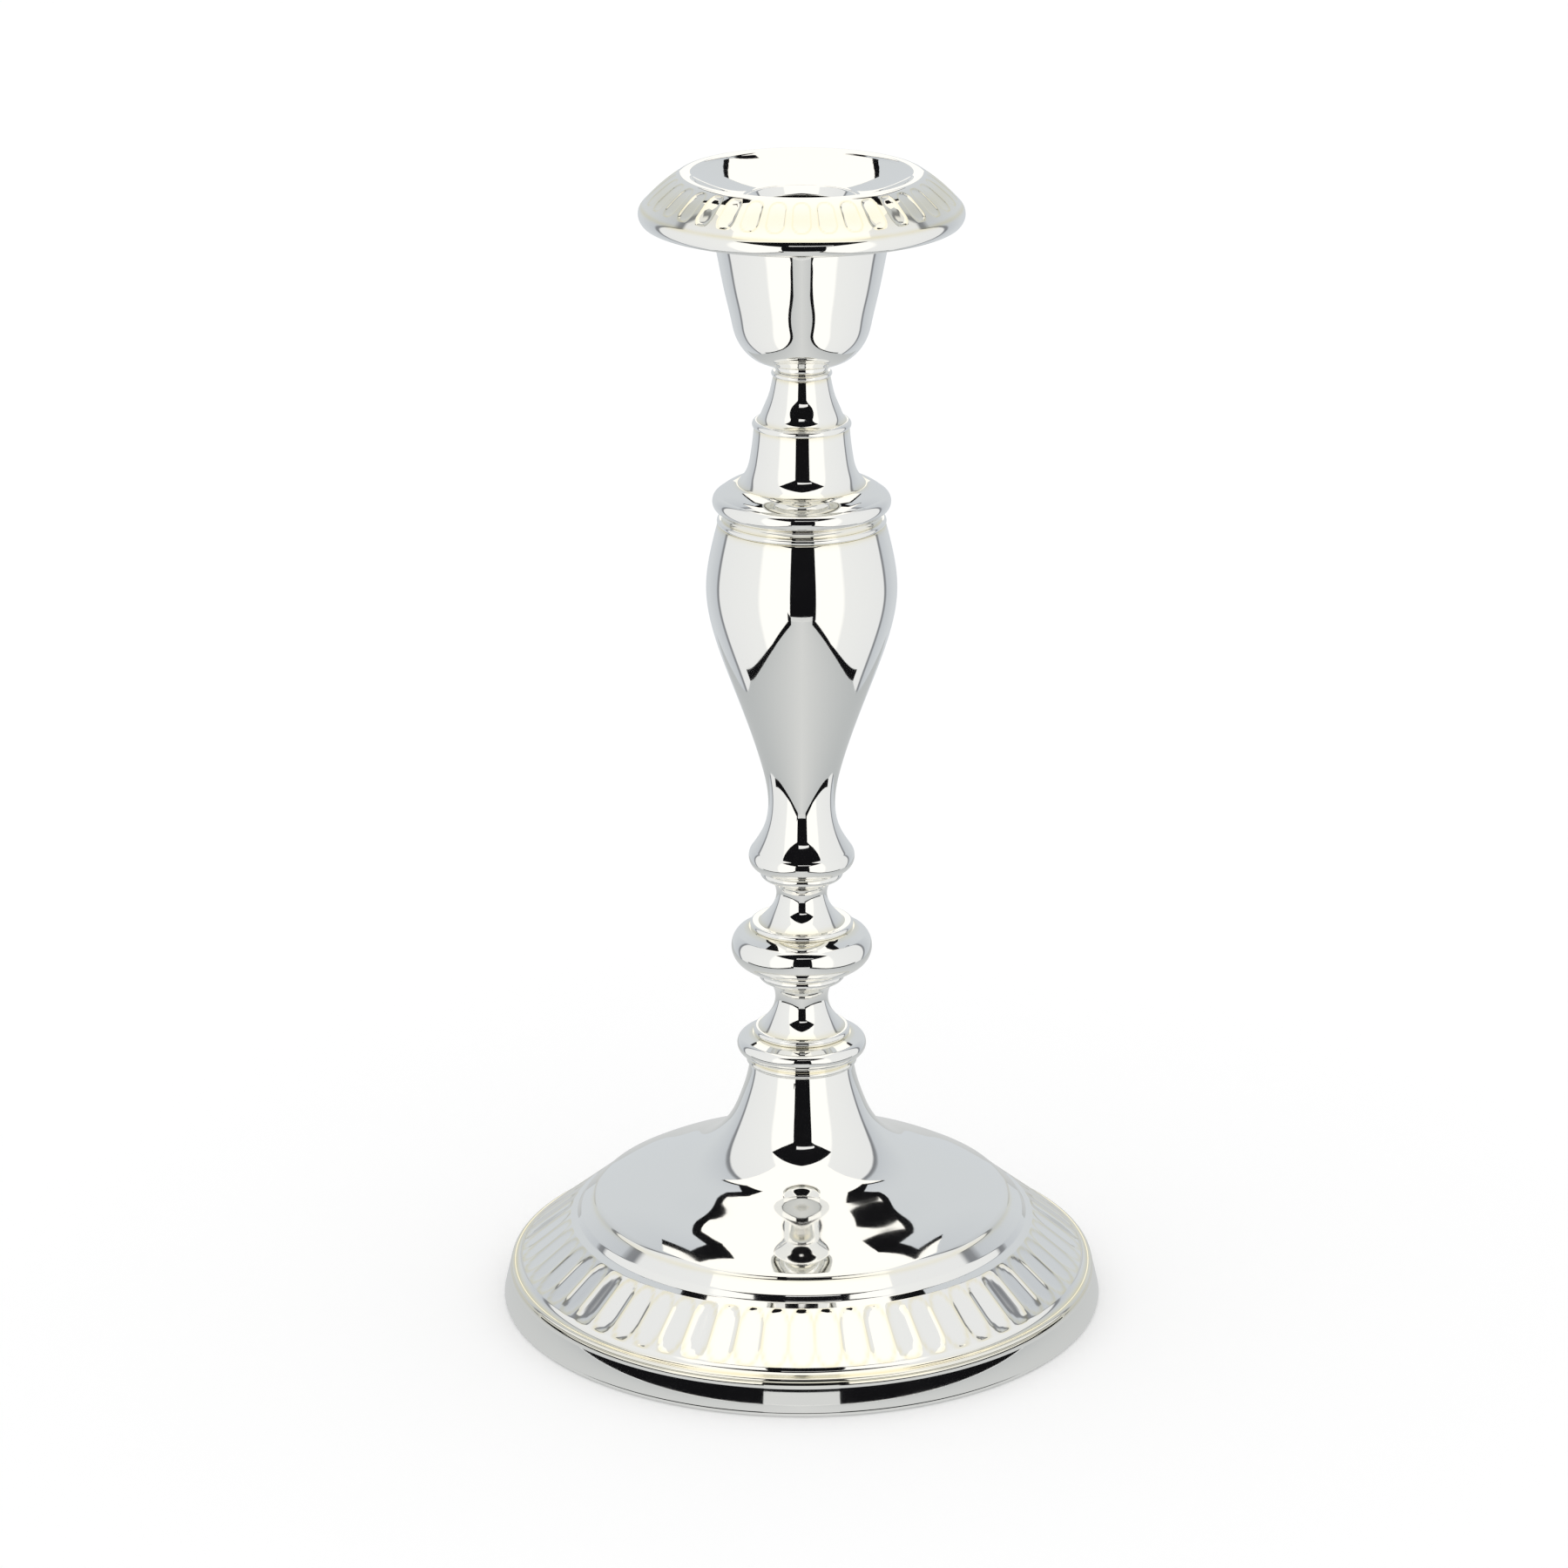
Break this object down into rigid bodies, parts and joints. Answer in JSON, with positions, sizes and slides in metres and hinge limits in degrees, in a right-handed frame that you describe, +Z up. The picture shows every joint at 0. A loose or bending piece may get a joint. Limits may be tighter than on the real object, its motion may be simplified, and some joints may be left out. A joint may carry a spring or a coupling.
{
  "type": "candlestick",
  "caption": "Silver-plated baluster candlestick with a fluted round foot, urn-shaped cup and lift-out drip pan holding one taper candle.",
  "frame": {"origin": "centre of the felt underside, on the table", "axes": "+Z up along the tie rod; the object is round, so +X and +Y are free, with a flute of the foot centred on +X"},
  "size_m": [0.1308, 0.1308, 0.25],
  "materials": {
    "silver_plate": "mirror-polished silver plate on brass",
    "steel": "zinc-plated steel",
    "iron": "raw casting, black paint",
    "felt": "green baize"
  },
  "bodies": {
    "stand": {"felt_pad": "felt", "base_cover_plate": "steel", "base_weight": "iron", "base_shell": "silver_plate", "base_collar": "silver_plate", "collar_ring": "silver_plate", "lower_spool": "silver_plate", "knop_lower_ring": "silver_plate", "knop": "silver_plate", "knop_upper_ring": "silver_plate", "upper_spool": "silver_plate", "baluster_ring": "silver_plate", "baluster_body": "silver_plate", "shoulder_ring": "silver_plate", "shoulder_disc": "silver_plate", "lower_bell": "silver_plate", "bell_ring": "silver_plate", "upper_bell": "silver_plate", "neck_bead": "silver_plate", "cup_collar": "silver_plate", "candle_cup": "silver_plate", "cup_liner": "silver_plate", "tie_rod": "steel", "base_washer": "steel", "lock_washer": "steel", "base_nut": "steel", "cup_washer": "steel", "cup_nut": "steel"},
    "nozzle": {"candle_socket": "silver_plate", "drip_pan": "silver_plate"}
  },
  "joints": [
    {"name": "nozzle_lift", "type": "slide", "parent": "stand", "child": "nozzle", "axis": [0, 0, 1], "range_m": [0, 0.035]}
  ]
}
